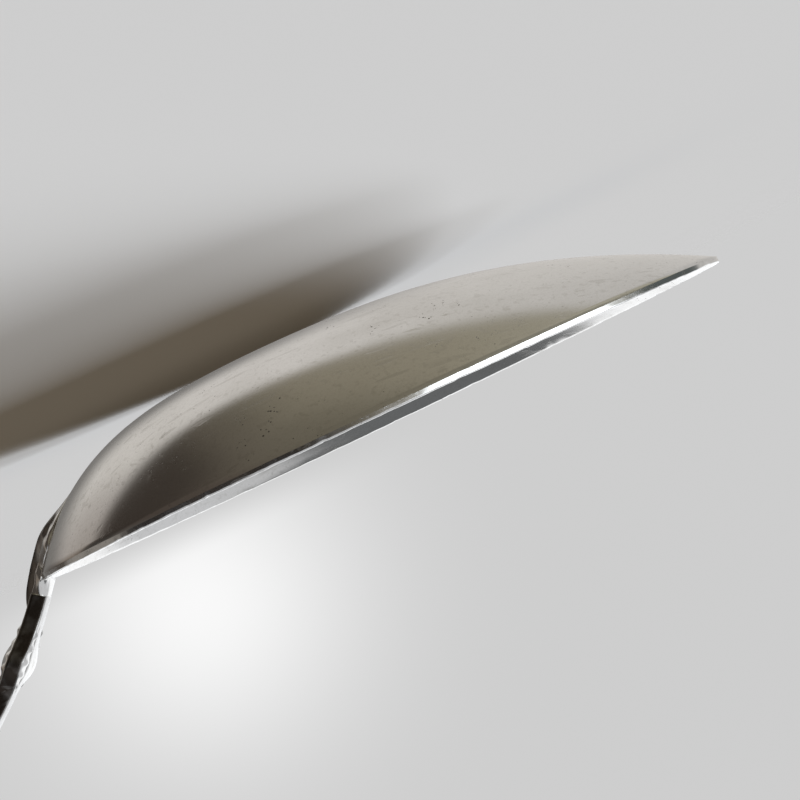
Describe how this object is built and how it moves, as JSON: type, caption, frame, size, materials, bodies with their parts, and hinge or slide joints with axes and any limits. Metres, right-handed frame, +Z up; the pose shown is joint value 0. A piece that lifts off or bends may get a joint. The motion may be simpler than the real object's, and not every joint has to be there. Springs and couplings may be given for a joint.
{
  "type": "bar spoon",
  "caption": "Long-handled metal bar spoon with an egg-shaped bowl, lobed ornamental neck, twisted square stem and a flat disc muddler, for stirring, layering and measuring drinks.",
  "frame": {"origin": "centre of the footprint, on the surface the spoon lies on: the bowl's keel and the muddler's edge touch z = 0", "axes": "+X along the spoon from the bowl's tip to the muddler, +Z up out of the bowl's hollow, Y across the bowl. The rim plane is level and the stem falls gently towards the muddler"},
  "size_m": [0.2931, 0.032, 0.0256],
  "materials": {
    "bowl": "polished plate, finely scratched and lightly pitted with use",
    "heel_leaf": "polished plate with darker recesses",
    "neck": "polished plate with darker recesses",
    "collar": "turned and polished plate",
    "stem": "polished plate, worn on the arrises",
    "stud": "plain drawn steel",
    "muddler": "turned and polished plate, scuffed on the end face"
  },
  "bodies": {
    "root": {"bowl": "bowl", "heel_leaf": "heel_leaf", "neck": "neck", "neck_collar": "collar", "twisted_stem": "stem", "muddler_collar": "collar", "muddler_stud": "stud", "muddler": "muddler"}
  },
  "joints": []
}
